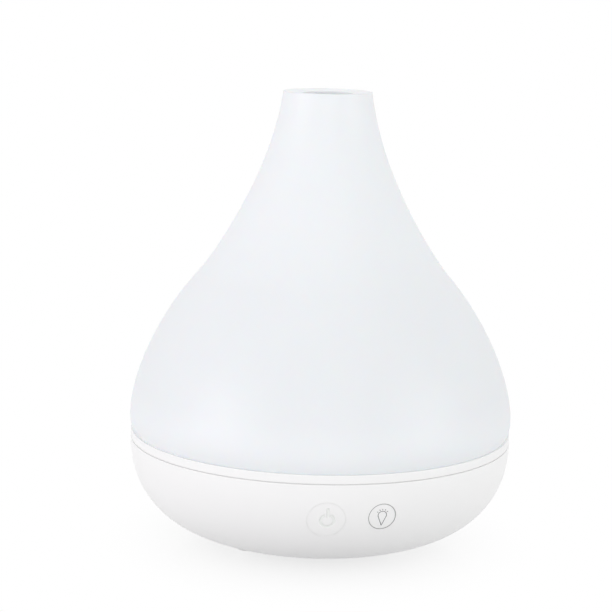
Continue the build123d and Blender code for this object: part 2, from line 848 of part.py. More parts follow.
def button_openings():
    """Solids and holes of the two button guides and of the panel's posts."""
    solids, holes = [], []
    thread_end = panel_depth + small_bite + hole_spare
    for place in panel_posts():
        solids.append(place * lying(post_radius, panel_depth, body_radius))
        holes.append(place * lying(small_shank + screw_gap, panel_depth, thread_end))
    for place, radius in zip(panel_places(), (mist_radius, light_radius)):
        solids.append(place * lying(radius + button_gap + guide_wall, guide_depth, body_radius))
        holes.append(place * lying(radius + button_gap, guide_depth, body_radius))
    return solids, holes


def jack_pocket_parts():
    """Solid and holes of the pocket that holds the power socket."""
    width, height, _ = (size + 2 * jack_gap for size in jack_size)
    near = jack_front - jack_pocket
    solid = lying_slab(width + 2 * jack_wall, height + 2 * jack_wall, near, body_radius)
    housing = lying_slab(width, height, near, jack_front)
    nose = lying(jack_nose + jack_gap, jack_front, body_radius)
    return [jack_frame * solid], [jack_frame * housing, jack_frame * nose]


def board_supports():
    """Solids and holes of the posts under the fan and the main board."""
    tops = fan_corners() + [post * Pos(0, 0, main_board_low) for post in board_posts()]
    solids = [top * rod(post_radius, -tank_under, 0) for top in tops]
    return solids, [top * small_hole(-small_bite - hole_spare, 0) for top in tops]


def screw_columns():
    """Solids and holes of the columns over the feet, with the feet's pockets."""
    solids, holes = [], []
    for place in columns():
        solids.append(place * rod(column_radius, 0, head_shoulder + base_wall))
        solids.append(place * rod(column_tip, 0, column_top))
        holes.append(place * rod(foot_radius + foot_gap, 0, foot_height + foot_sink))
        holes.append(place * rod(large_head + foot_gap, 0, head_shoulder))
        holes.append(place * rod(large_shank + screw_gap, 0, column_top))
    return solids, holes


def grille():
    """Slots of the air intake under the fan."""
    radius = fan_bore - grille_inset
    reach = int(radius // grille_pitch)
    slots = []
    for k in range(-reach, reach + 1):
        length = 2 * sqrt(radius ** 2 - (k * grille_pitch) ** 2)
        slot = extrude(SlotOverall(length, grille_slot), fan_height)
        slots.append(duct_centre * Pos(0, k * grille_pitch, 0) * slot)
    return slots


def base_shell():
    """Bowl with its grille, columns, posts, button guides and power socket pocket."""
    outer, inner = bowl_points(), bowl_points(base_wall)
    shell = lathe(
        Line((0, foot_height), outer[0]), Bezier(*outer), Line(outer[-1], inner[-1]),
        Bezier(*inner), Line(inner[0], (0, base_floor)), Line((0, base_floor), (0, foot_height)))
    shell = fillet(shell.edges().filter_by(GeomType.CIRCLE).sort_by(SortBy.RADIUS)[-1], seam_fillet)
    room = bowl_space(base_wall / 2)
    holes = grille()
    for solids, cuts in (screw_columns(), board_supports(), button_openings(), jack_pocket_parts()):
        holes += cuts
        for solid in solids:
            shell += solid & room
    for hole in holes:
        shell -= hole
    return shell


def rubber_feet():
    """Three round feet, each in its pocket over a base screw."""
    foot = rod(foot_radius, 0, foot_height + foot_sink)
    foot = fillet(foot.edges().sort_by(Axis.Z)[0], foot_fillet)
    return Part() + [place * foot for place in columns()]


def base_screws():
    """Three long screws, driven up from the feet's pockets into the tank."""
    length = tank_under - head_shoulder - tip_gap
    one = Rot(180, 0, 0) * screw(large_shank, large_head, large_head_height, length)
    return Part() + [place * Pos(0, 0, head_shoulder) * one for place in columns()]


mist_place, light_place = panel_places()
nodes = {
    "outer_cover": outer_cover(),
    "inner_lid": inner_lid(),
    "water_tank": water_tank(),
    "duct_cap": duct_cap(),
    "transducer_disc": transducer_disc(),
    "transducer_seal": transducer_seal(),
    "transducer_clamp": transducer_clamp(),
    "transducer_screws": transducer_screws(),
    "led_board": lamp_board(),
    "leds": lamps(),
    "main_board": main_board(),
    "control_chip": control_chip(),
    "capacitors": capacitors(),
    "power_inductor": power_inductor(),
    "drive_transistor": drive_transistor(),
    "heatsink": heatsink(),
    "connectors": connectors(),
    "board_screws": board_screws(),
    "button_board": button_board(),
    "switch_bodies": switch_bodies(),
    "panel_screws": panel_screws(),
    "mist_button": push_button(mist_place, mist_radius),
    "mist_plunger": plunger(mist_place),
    "light_button": push_button(light_place, light_radius),
    "light_plunger": plunger(light_place),
    "fan_frame": fan_frame(),
    "fan_rotor": fan_rotor(),
    "fan_shaft": fan_shaft(),
    "fan_bearing": fan_bearing(),
    "fan_stator": fan_stator(),
    "fan_screws": fan_screws(),
    "dc_jack": dc_jack(),
    "dc_jack_pin": dc_jack_pin(),
    "base_shell": base_shell(),
    "rubber_feet": rubber_feet(),
    "base_screws": base_screws(),
}
for name, solid in nodes.items():
    export_step(solid, f"parts/{name}.step")
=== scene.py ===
"""Dresses the cool mist humidifier: turned shells, finishes, button signs, studio and camera.

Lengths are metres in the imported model's frame: +Z up, the front towards -Y, the origin on the
table.
"""
from __future__ import annotations

import json
import logging
import math
from collections.abc import Sequence
from dataclasses import dataclass, field
from enum import Enum

import bmesh
import bpy
from mathutils import Matrix, Vector

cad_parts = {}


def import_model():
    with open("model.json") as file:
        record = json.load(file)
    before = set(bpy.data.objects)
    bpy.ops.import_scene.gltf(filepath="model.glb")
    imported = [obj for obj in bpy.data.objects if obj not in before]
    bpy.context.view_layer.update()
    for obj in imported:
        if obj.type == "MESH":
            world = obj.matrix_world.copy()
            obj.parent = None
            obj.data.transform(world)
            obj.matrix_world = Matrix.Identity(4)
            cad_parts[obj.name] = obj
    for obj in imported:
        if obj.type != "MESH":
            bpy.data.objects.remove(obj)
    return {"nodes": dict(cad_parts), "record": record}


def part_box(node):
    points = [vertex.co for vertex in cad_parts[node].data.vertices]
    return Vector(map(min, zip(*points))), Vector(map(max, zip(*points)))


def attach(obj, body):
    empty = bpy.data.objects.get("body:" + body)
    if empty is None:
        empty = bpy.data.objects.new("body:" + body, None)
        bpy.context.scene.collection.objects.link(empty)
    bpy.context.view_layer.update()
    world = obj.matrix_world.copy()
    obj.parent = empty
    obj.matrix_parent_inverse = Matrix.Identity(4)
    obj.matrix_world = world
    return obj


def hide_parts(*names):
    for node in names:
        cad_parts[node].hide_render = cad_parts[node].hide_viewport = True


log = logging.getLogger("humidifier")

Colour = tuple[float, float, float]
Point = tuple[float, float] | Vector
Stroke = tuple[list[Vector], bool]
Inputs = dict[int | str, object]

MM = 0.001
SIDES = 256              # round a turned piece
ROUND_STEPS = 6          # along a rounded corner
STRAIGHT = 0.05          # a corner that turns less, in radians, stays as it is
FINE_DETAIL = 3.0        # octaves of a fine grain
WAVE_WIDTH = 0.314       # one band of the wave pattern at a scale of one
WHITE: Colour = (1.0, 1.0, 1.0)


class Socket:
    """An output socket that writes Math nodes when it is used in an expression."""

    def __init__(self, tree: Tree, socket: bpy.types.NodeSocket | None) -> None:
        """Wraps an output socket of a tree."""
        self.tree = tree
        self.socket = socket

    def _math(self, operation: str, *values: object) -> Socket:
        """Adds one Math node and returns its result."""
        return self.tree.node("ShaderNodeMath", dict(enumerate(values)), operation=operation)

    def __add__(self, other: object) -> Socket:
        """This value and the other."""
        return self._math("ADD", self, other)

    __radd__ = __add__

    def __sub__(self, other: object) -> Socket:
        """This value less the other."""
        return self._math("SUBTRACT", self, other)

    def __rsub__(self, other: object) -> Socket:
        """The other value less this one."""
        return self._math("SUBTRACT", other, self)

    def __mul__(self, other: object) -> Socket:
        """This value times the other."""
        return self._math("MULTIPLY", self, other)

    __rmul__ = __mul__

    def __truediv__(self, other: object) -> Socket:
        """This value over the other."""
        return self._math("DIVIDE", self, other)

    def __rtruediv__(self, other: object) -> Socket:
        """The other value over this one."""
        return self._math("DIVIDE", other, self)

    def __pow__(self, other: object) -> Socket:
        """This value to a power."""
        return self._math("POWER", self, other)

    def maximum(self, other: object) -> Socket:
        """The larger of both values."""
        return self._math("MAXIMUM", self, other)

    def minimum(self, other: object) -> Socket:
        """The smaller of both values."""
        return self._math("MINIMUM", self, other)

    def around(self, radius: Socket) -> tuple[Socket, Socket]:
        """Both parts of a point on a circle, with this value as its angle."""
        return self._math("COSINE", self) * radius, self._math("SINE", self) * radius

    def step(self, low: float, high: float) -> Socket:
        """A smooth step of this value.

        Args:
            low: Where the step starts, at nothing.
            high: Where it ends, at one.

        Returns:
            The step's value.
        """
        ranged = {"Value": self, "From Min": low, "From Max": high}
        return self.tree.node("ShaderNodeMapRange", ranged, interpolation_type="SMOOTHSTEP")


class Tree:
    """A node tree whose nodes all come from one method."""

    def __init__(self, tree: bpy.types.NodeTree) -> None:
        """Wraps a node tree."""
        self.tree = tree

    def node(self, kind: str, inputs: Inputs | None = None, output: int | str = 0,
             **settings: object) -> Socket:
        """Adds a node.

        Args:
            kind: The node's type name.
            inputs: Values or sockets for its inputs, by name or number; a list links several.
            output: Which of its outputs is wanted.
            **settings: The node's own properties, set before its inputs.

        Returns:
            The wanted output.
        """
        made = self.tree.nodes.new(kind)
        for name, value in settings.items():
            setattr(made, name, value)
        for key, value in (inputs or {}).items():
            for part in value if isinstance(value, list) else [value]:
                if isinstance(part, Socket):
                    self.tree.links.new(part.socket, made.inputs[key])
                else:
                    made.inputs[key].default_value = part
        return Socket(self, made.outputs[output] if made.outputs else None)

    def axes(self, vector: Socket) -> tuple[Socket, Socket, Socket]:
        """The three parts of a vector."""
        outputs = self.node("ShaderNodeSeparateXYZ", {0: vector}).socket.node.outputs
        return tuple(Socket(self, outputs[k]) for k in range(3))

    def vector(self, across: object = 0.0, along: object = 0.0, up: object = 0.0) -> Socket:
        """A vector from its three parts."""
        return self.node("ShaderNodeCombineXYZ", {0: across, 1: along, 2: up})


class ShaderTree(Tree):
    """A material's or the world's tree, with the patterns that the finishes share."""

    def place(self) -> Socket:
        """The piece's own coordinates, in metres."""
        return self.node("ShaderNodeTexCoord", output="Object")

    def noise(self, size: float, detail: float = 2.0) -> Socket:
        """Noise from nothing to one, with blotches of a size and octaves of finer noise."""
        return self.node("ShaderNodeTexNoise",
                         {"Vector": self.place(), "Scale": 1.0 / size, "Detail": detail})

    def blend(self, share: object, low: object, high: object) -> Socket:
        """A colour between two: a share of nothing gives the first and one gives the second."""
        return self.node("ShaderNodeMix", {0: share, 6: low, 7: high}, output=2, data_type="RGBA")

    def bump(self, relief: Socket, depth: float) -> Socket:
        """The bent normal of a relief from nothing to one with a depth in metres."""
        return self.node("ShaderNodeBump", {"Height": relief, "Distance": depth})


def grey(level: float) -> Colour:
    """A colour without any tint."""
    return (level, level, level)


def shade(colour: Colour, factor: float = 1.0) -> tuple[float, float, float, float]:
    """A colour made darker or lighter, with full cover."""
    return (*(min(1.0, part * factor) for part in colour), 1.0)


@dataclass(frozen=True)
class Finish:
    """A surface: its colour, its gloss, and the grain that every moulded piece has."""

    name: str
    colour: Colour
    roughness: float = 0.4
    tone: float = 0.02
    grain: float = 0.35 * MM
    depth: float = 0.004 * MM
    cloud: float = 14.0 * MM
    cloud_gloss: float = 0.08

    def material(self) -> bpy.types.Material:
        """The finish as a material, made the first time that it is asked for."""
        return bpy.data.materials.get(f"{self.name}_surface") or self._make()

    def _make(self) -> bpy.types.Material:
        """Writes the material's tree.

        Returns:
            The new material.
        """
        material = bpy.data.materials.new(f"{self.name}_surface")
        material.use_nodes = True
        material.diffuse_color = shade(self.colour)
        material.node_tree.nodes.clear()
        tree = ShaderTree(material.node_tree)
        sockets = {"Roughness": self.roughness} | self.sockets(tree)
        shader = tree.node("ShaderNodeBsdfPrincipled", sockets)
        tree.node("ShaderNodeOutputMaterial", {"Surface": shader})
        return material

    def sockets(self, tree: ShaderTree) -> Inputs:
        """Values and links of the shader's sockets.

        Args:
            tree: The material's tree.

        Returns:
            Names of sockets with their values or links.
        """
        cloud = tree.noise(self.cloud)
        grain = tree.noise(self.grain, FINE_DETAIL)
        dark, light = shade(self.colour, 1 - self.tone), shade(self.colour, 1 + self.tone)
        return {
            "Base Color": tree.blend(cloud, dark, light),
            "Roughness": self.roughness * (1 - self.cloud_gloss + 2 * self.cloud_gloss * cloud),
            "Normal": tree.bump(grain, self.depth),
        }


@dataclass(frozen=True)
class Metal(Finish):
    """Bare or plated metal with fine scratches along one direction."""

    scratch: float = 1.5 * MM
    stretch: float = 14.0
    scratch_gloss: float = 0.3

    def sockets(self, tree: ShaderTree) -> Inputs:
        """Adds the metal's sheen to the moulded finish's sockets.

        Args:
            tree: The material's tree.

        Returns:
            Names of sockets with their values or links.
        """
        mapping = {"Vector": tree.place(), "Scale": (1.0, 1.0, self.stretch)}
        stretched = tree.node("ShaderNodeMapping", mapping)
        pattern = {"Vector": stretched, "Scale": 1.0 / self.scratch, "Detail": FINE_DETAIL}
        lines = tree.node("ShaderNodeTexNoise", pattern)
        gloss = 1 - self.scratch_gloss + 2 * self.scratch_gloss * lines
        return super().sockets(tree) | {
            "Metallic": 1.0,
            "Roughness": self.roughness * gloss,
            "Normal": tree.bump(lines, self.depth),
        }


@dataclass(frozen=True)
class CircuitBoard(Finish):
    """Glass fibre board under solder mask, with copper tracks that shine through it."""

    track: Colour = (0.02, 0.16, 0.06)
    mesh: float = 2.4 * MM
    disorder: float = 0.65
    track_edge: Point = (0.06, 0.10)
    track_depth: float = 0.02 * MM

    def sockets(self, tree: ShaderTree) -> Inputs:
        """Draws square tracks under the mask.

        Args:
            tree: The material's tree.

        Returns:
            Names of sockets with their values or links.
        """
        pattern = {"Vector": tree.place(), "Scale": 1.0 / self.mesh, "Randomness": self.disorder}
        cells = tree.node("ShaderNodeTexVoronoi", pattern, distance="CHEBYCHEV",
                          feature="DISTANCE_TO_EDGE")
        tracks = 1.0 - cells.step(*self.track_edge)
        return super().sockets(tree) | {
            "Base Color": tree.blend(tracks, shade(self.colour), shade(self.track)),
            "Normal": tree.bump(tracks, self.track_depth),
        }


@dataclass(frozen=True)
class Winding(Finish):
    """Enamelled wire wound in fine even turns, with painted shade in the gaps between them."""

    pitch: float = 0.25 * MM
    waver: float = 0.2
    # painted shade: how dark the colour is drawn in the gaps between turns
    gap_shade: float = 0.5
    metallic: float = 0.8
    turn_depth: float = 0.08 * MM

    def sockets(self, tree: ShaderTree) -> Inputs:
        """Bends the normal over each turn of the wire and darkens the gaps between turns with
        painted shade.

        Args:
            tree: The material's tree.

        Returns:
            Names of sockets with their values or links.
        """
        wave = {"Vector": tree.place(), "Scale": WAVE_WIDTH / self.pitch, "Distortion": self.waver}
        turns = tree.node("ShaderNodeTexWave", wave, output="Fac", bands_direction="Z")
        return super().sockets(tree) | {
            # painted shade in the gaps between turns
            "Base Color": tree.blend(turns, shade(self.colour, self.gap_shade), shade(self.colour)),
            "Metallic": self.metallic,
            "Normal": tree.bump(turns, self.turn_depth),
        }


@dataclass(frozen=True)
class FrostedPlastic(Finish):
    """Milky plastic that lets light through, with painted light that whitens it towards the neck
    and the foot.
    """

    under_skin: float = 1.5 * MM
    under_share: float = 0.15
    # painted light: how much whiter the colour is drawn towards the neck and the foot
    whiter: float = 0.05
    foot: Point = (46.0 * MM, 62.0 * MM)
    neck: Point = (70.0 * MM, 125.0 * MM)

    def sockets(self, tree: ShaderTree) -> Inputs:
        """Paints light on the neck and the foot by whitening their colour, and lets a little light
        under the surface.

        Args:
            tree: The material's tree.

        Returns:
            Names of sockets with their values or links.
        """
        sockets = super().sockets(tree)
        height = tree.axes(tree.place())[2]
        # painted light: rises to one towards the top of the neck and the bottom of the foot,
        # nothing between
        painted_light_share = height.step(*self.neck) + (1.0 - height.step(*self.foot))
        painted_light_gain = {"Scale": 1.0 + self.whiter * painted_light_share, 0: sockets["Base Color"]}
        return sockets | {
            "Base Color": tree.node("ShaderNodeVectorMath", painted_light_gain, operation="SCALE"),
            "Subsurface Weight": self.under_share,
            "Subsurface Scale": self.under_skin,
        }


@dataclass(frozen=True)
class PressedPlastic(Finish):
    """White plastic, thinner and a little greener where a stroke is pressed into it."""

    stroke: Colour = (0.89, 0.91, 0.89)
    edge: float = 0.15 * MM

    def sockets(self, tree: ShaderTree) -> Inputs:
        """Tints the pressed strokes by the piece's own attribute.

        Args:
            tree: The material's tree.

        Returns:
            Names of sockets with their values or links.
        """
        sockets = super().sockets(tree)
        pressed = tree.node("ShaderNodeAttribute", output="Fac", attribute_name="pressed")
        return sockets | {
            "Base Color": tree.blend(pressed, sockets["Base Color"], shade(self.stroke)),
            "Normal": tree.bump(1.0 - pressed, self.edge),
        }


class Finishes(Enum):
    """Every finish of the humidifier, by the record's name of its slot, and then the signs' own."""

    frosted_cover = FrostedPlastic(
        "frosted_cover", (0.835, 0.858, 0.882), 0.42, 0.006, 0.5 * MM, 0.006 * MM)
    milky_lid = FrostedPlastic("milky_lid", (0.86, 0.88, 0.89), 0.36, 0.008, whiter=0.0)
    tank_plastic = Finish("tank_plastic", grey(0.945), 0.32, 0.005)
    base_plastic = Finish("base_plastic", grey(0.945), 0.32, 0.005)
    button_plastic = Finish("button_plastic", grey(0.945), 0.32, 0.005)
    foot_rubber = Finish("foot_rubber", (0.86, 0.86, 0.855), 0.62, 0.03)
    seal_rubber = Finish("seal_rubber", (0.05, 0.05, 0.055), 0.6, 0.1)
    transducer_metal = Metal("transducer_metal", (0.75, 0.74, 0.70), 0.28)
    steel = Metal("steel", (0.62, 0.62, 0.63), 0.3)
    lamp_board = CircuitBoard("lamp_board", (0.78, 0.79, 0.78), 0.35, track=(0.60, 0.62, 0.60))
    led_lens = Finish("led_lens", (0.85, 0.80, 0.45), 0.2, 0.06)
    circuit_board = CircuitBoard("circuit_board", (0.012, 0.11, 0.04), 0.3)
    black_package = Finish("black_package", (0.025, 0.025, 0.028), 0.45, 0.15)
    capacitor_can = Finish("capacitor_can", (0.02, 0.03, 0.09), 0.25, 0.1)
    heatsink_metal = Metal("heatsink_metal", (0.55, 0.56, 0.58), 0.38)
    connector_plastic = Finish("connector_plastic", (0.80, 0.78, 0.70), 0.4)
    plunger_plastic = Finish("plunger_plastic", (0.03, 0.03, 0.035), 0.35, 0.1)
    fan_plastic = Finish("fan_plastic", (0.035, 0.035, 0.04), 0.4, 0.1)
    bearing_brass = Metal("bearing_brass", (0.72, 0.50, 0.20), 0.25)
    winding_copper = Winding("winding_copper", (0.72, 0.28, 0.12), 0.3)
    jack_plastic = Finish("jack_plastic", (0.03, 0.03, 0.033), 0.4, 0.1)
    pressed_button = PressedPlastic("pressed_button", grey(0.945), 0.32, 0.005)
    # painted shadow: grey for the band at the bottom of the seam's shadow line
    seam_shade = Finish("seam_shade", grey(0.76), 0.5, 0.02)
    # painted shade: dark grey for the ring in the lamp button's groove
    lamp_seal = Finish("lamp_seal", grey(0.36), 0.5, 0.02)
    printed_ink = Finish("printed_ink", (0.05, 0.05, 0.055), 0.5, 0.1)


class GeometryTree(Tree):
    """A Geometry Nodes tree with named inputs, which makes one mesh and leaves no modifier."""

    def __init__(self, name: str) -> None:
        """Starts an empty tree.

        Args:
            name: The tree's name, in words.
        """
        super().__init__(bpy.data.node_groups.new(name, "GeometryNodeTree"))
        self.tree.interface.new_socket("Mesh", in_out="OUTPUT", socket_type="NodeSocketGeometry")
        self.inputs = self.tree.nodes.new("NodeGroupInput")
        self.values: dict[str, object] = {}

    def given(self, name: str, kind: str, value: object) -> Socket:
        """Adds a named input and remembers the value that the piece gives it.

        Args:
            name: The input's name, in words.
            kind: The socket's type without its prefix, such as Float.
            value: The value for this piece.

        Returns:
            The input's socket inside the tree.
        """
        made = self.tree.interface.new_socket(name, in_out="INPUT", socket_type=f"NodeSocket{kind}")
        self.values[made.identifier] = value
        return Socket(self, self.inputs.outputs[name])

    def curve_of(self, line: bpy.types.Object, name: str) -> Socket:
        """The geometry of an object that becomes an input with this name."""
        wanted = {"Object": self.given(name, "Object", line)}
        return self.node("GeometryNodeObjectInfo", wanted, output="Geometry",
                         transform_space="ORIGINAL")

    def piece(self, mesh: Socket, name: str, finish: Finish) -> bpy.types.Object:
        """Ends the tree and turns its result into a plain mesh.

        Args:
            mesh: The geometry that the tree has made.
            name: Name of the new piece.
            finish: Its finish.

        Returns:
            The new piece, at the origin and without modifiers.
        """
        material = self.given("Finish", "Material", finish.material())
        smooth = self.node("GeometryNodeSetShadeSmooth", {0: mesh})
        real = self.node("GeometryNodeRealizeInstances", {0: smooth})
        dressed = self.node("GeometryNodeSetMaterial", {0: real, "Material": material})
        self.node("NodeGroupOutput", {0: dressed})
        piece = bpy.data.objects.new(name, bpy.data.meshes.new(name))
        bpy.context.scene.collection.objects.link(piece)
        modifier = piece.modifiers.new("rule", "NODES")
        modifier.node_group = self.tree
        for identifier, value in self.values.items():
            modifier[identifier] = value
        depsgraph = bpy.context.evaluated_depsgraph_get()
        made = bpy.data.meshes.new_from_object(piece.evaluated_get(depsgraph))
        piece.modifiers.clear()
        piece.data = made
        made.name = name
        made.materials.clear()
        made.materials.append(finish.material())
        close_up(made)
        return piece


def close_up(mesh: bpy.types.Mesh, reach: float = 0.002 * MM) -> None:
    """Merges doubled points and turns every face outwards.

    Args:
        mesh: The mesh to mend.
        reach: Points nearer than this become one.
    """
    work = bmesh.new()
    work.from_mesh(mesh)
    bmesh.ops.remove_doubles(work, verts=work.verts, dist=reach)
    bmesh.ops.recalc_face_normals(work, faces=work.faces)
    work.to_mesh(mesh)
    work.free()


def drawn(strokes: Sequence[Stroke]) -> bpy.types.Object:
    """Draws strokes as a flat curve.

    Args:
        strokes: The points of each stroke, and whether it is closed.

    Returns:
        A curve object that is in no collection.
    """
    curve = bpy.data.curves.new("strokes", "CURVE")
    curve.dimensions = "3D"
    for points, closed in strokes:
        spline = curve.splines.new("POLY")
        spline.points.add(len(points) - 1)
        for spot, point in zip(spline.points, points):
            spot.co = (point.x, point.y, 0, 1)
        spline.use_cyclic_u = closed
    return bpy.data.objects.new("strokes", curve)


@dataclass
class Outline:
    """Closed half section of a turned piece, as cubic sections in (radius, height)."""

    sections: list[tuple[Vector, Vector, Vector, Vector]] = field(default_factory=list)
    radii: list[float] = field(default_factory=list)

    def line(self, start: Point, *ends: Point, rounding: float = 0.0) -> None:
        """Adds straight sections.

        Args:
            start: Where the first begins.
            *ends: Where each ends.
            rounding: Radius of the corner at the end of each.
        """
        for end in ends:
            first, last = Vector(start), Vector(end)
            inner = first.lerp(last, 1 / 3), first.lerp(last, 2 / 3)
            self.curve(first, *inner, last, rounding=rounding)
            start = end

    def curve(self, *points: Point, rounding: float = 0.0) -> None:
        """Adds a Bezier section by its four control points, with the corner at its end rounded."""
        self.sections.append(tuple(Vector(point) for point in points))
        self.radii.append(rounding)

    def points(self, step: float) -> list[Vector]:
        """Points round the outline, with its corners rounded.

        Args:
            step: Longest distance between two points.

        Returns:
            The points, without a double at the end.
        """
        trimmed = [list(section) for section in self.sections]
        corners = []
        for k, radius in enumerate(self.radii):
            here, there = trimmed[k], trimmed[(k + 1) % len(trimmed)]
            back, ahead = (here[2] - here[3]).normalized(), (there[1] - there[0]).normalized()
            angle = back.angle(ahead)
            if not radius or angle > math.pi - STRAIGHT:
                corners.append([])
                continue
            cut = radius / math.tan(angle / 2)
            pull = 4 / 3 * math.tan((math.pi - angle) / 4) * radius
            self._trim(here, cut, at_end=True)
            self._trim(there, cut, at_end=False)
            first, last = here[3], there[0]
            corners.append([first, first - back * pull, last - ahead * pull, last])
        made: list[Vector] = []
        for section, corner in zip(trimmed, corners):
            length = sum((b - a).length for a, b in zip(section, section[1:]))
            made += self._sampled(section, max(1, math.ceil(length / step)))
            made += self._sampled(corner, ROUND_STEPS) if corner else []
        return made

    @staticmethod
    def _at(section: Sequence[Vector], t: float) -> Vector:
        """Point of a Bezier section at a parameter."""
        weights = ((1 - t) ** 3, 3 * (1 - t) ** 2 * t, 3 * (1 - t) * t ** 2, t ** 3)
        return sum((point * weight for point, weight in zip(section, weights)), Vector((0, 0)))

    def _sampled(self, section: Sequence[Vector], count: int) -> list[Vector]:
        """Evenly spread points of a section, without its last."""
        return [self._at(section, k / count) for k in range(count)]

    @staticmethod
    def _trim(section: list[Vector], cut: float, at_end: bool) -> None:
        """Shortens a section by a small length at one of its ends.

        Args:
            section: Its control points, changed in place.
            cut: The length.
            at_end: Whether the far end is cut.
        """
        points = section if at_end else section[::-1]
        keep = 1 - cut / (3 * (points[3] - points[2]).length)
        rows = [list(points)]
        while len(rows[-1]) > 1:
            rows.append([a.lerp(b, keep) for a, b in zip(rows[-1], rows[-1][1:])])
        kept = [row[0] for row in rows]
        section[:] = kept if at_end else kept[::-1]


def turned(name: str, outline: Outline, finish: Finish,
           step: float = 1.3 * MM) -> bpy.types.Object:
    """Turns an outline about the Z axis into a closed shell.

    Args:
        name: Name of the new piece.
        outline: Its half section.
        finish: Its finish.
        step: Longest distance between two points of the outline.

    Returns:
        The new piece.
    """
    drawing = drawn([(outline.points(step), True)])
    tree = GeometryTree("turned shell")
    centre = tree.given("Centre", "Float", 1 * MM)
    sides = tree.given("Sides", "Int", SIDES)
    upended = {0: tree.curve_of(drawing, "Outline"), "Translation": tree.vector(0.0 - centre),
               "Scale": (1.0, -1.0, 1.0)}
    section = tree.node("GeometryNodeTransform", upended)
    size = {"Resolution": sides, "Radius": centre}
    circle = tree.node("GeometryNodeCurvePrimitiveCircle", size)
    shell = tree.node("GeometryNodeCurveToMesh", {"Curve": circle, "Profile Curve": section})
    piece = tree.piece(shell, name, finish)
    bpy.data.objects.remove(drawing)
    return piece


def moved_in(points: Sequence[Point], inset: float) -> list[Vector]:
    """Control points of a Bezier curve moved to the left of its course.

    Args:
        points: The control points.
        inset: How far.

    Returns:
        The moved control points.
    """
    spots = [Vector(point) for point in points]
    legs = [(b - a).normalized() for a, b in zip(spots, spots[1:])]
    normals = [Vector((-leg.y, leg.x)) for leg in legs]
    mitres = [(m + n) / (1 + m.dot(n)) for m, n in zip(normals, normals[1:])]
    shifts = [normals[0], *mitres, normals[-1]]
    return [spot + shift * inset for spot, shift in zip(spots, shifts)]


@dataclass
class Camera:
    """The camera at the height and turn from which the humidifier is seen."""

    distance: float = 0.7
    height: float = 0.213
    lens: float = 113.9
    sensor: float = 36.0
    reach: float = 20.0
    pitch: float = 10.143
    yaw: float = -0.505
    roll: float = 1.285
    turn: float = -2.3

    def build(self) -> None:
        """Makes the camera and the scene use it."""
        camera = bpy.data.objects.new("camera", bpy.data.cameras.new("camera"))
        camera.data.lens = self.lens
        camera.data.sensor_width = self.sensor
        camera.data.clip_end = self.reach
        bpy.context.scene.collection.objects.link(camera)
        pitch, yaw, roll = (math.radians(angle) for angle in (self.pitch, self.yaw, self.roll))
        flat = math.cos(pitch)
        forward = Vector((math.sin(yaw) * flat, math.cos(yaw) * flat, -math.sin(pitch)))
        level = Vector((math.cos(yaw), -math.sin(yaw), 0))
        upright = level.cross(forward)
        right = math.cos(roll) * level + math.sin(roll) * upright
        up = math.cos(roll) * upright - math.sin(roll) * level
        pose = Matrix((right, up, -forward)).transposed().to_4x4()
        pose.translation = Vector((0, -self.distance, self.height))
        camera.matrix_world = Matrix.Rotation(math.radians(self.turn), 4, "Z") @ pose
        bpy.context.scene.camera = camera
        log.info("camera at %s", tuple(round(part, 3) for part in camera.matrix_world.translation))


@dataclass(frozen=True)
class Lamp:
    """Soft round lamp that shines at the humidifier."""

    name: str
    place: tuple[float, float, float]
    size: float
    power: float
    colour: Colour = WHITE

    def build(self, aim: float) -> None:
        """Makes the lamp.

        Args:
            aim: Height on the Z axis that it points at.
        """
        lamp = bpy.data.objects.new(self.name, bpy.data.lights.new(self.name, "AREA"))
        lamp.data.shape, lamp.data.size = "DISK", self.size
        lamp.data.energy, lamp.data.color = self.power, self.colour
        lamp.location = self.place
        towards = Vector((0, 0, aim)) - Vector(self.place)
        lamp.rotation_euler = towards.to_track_quat("-Z", "Y").to_euler()
        bpy.context.scene.collection.objects.link(lamp)


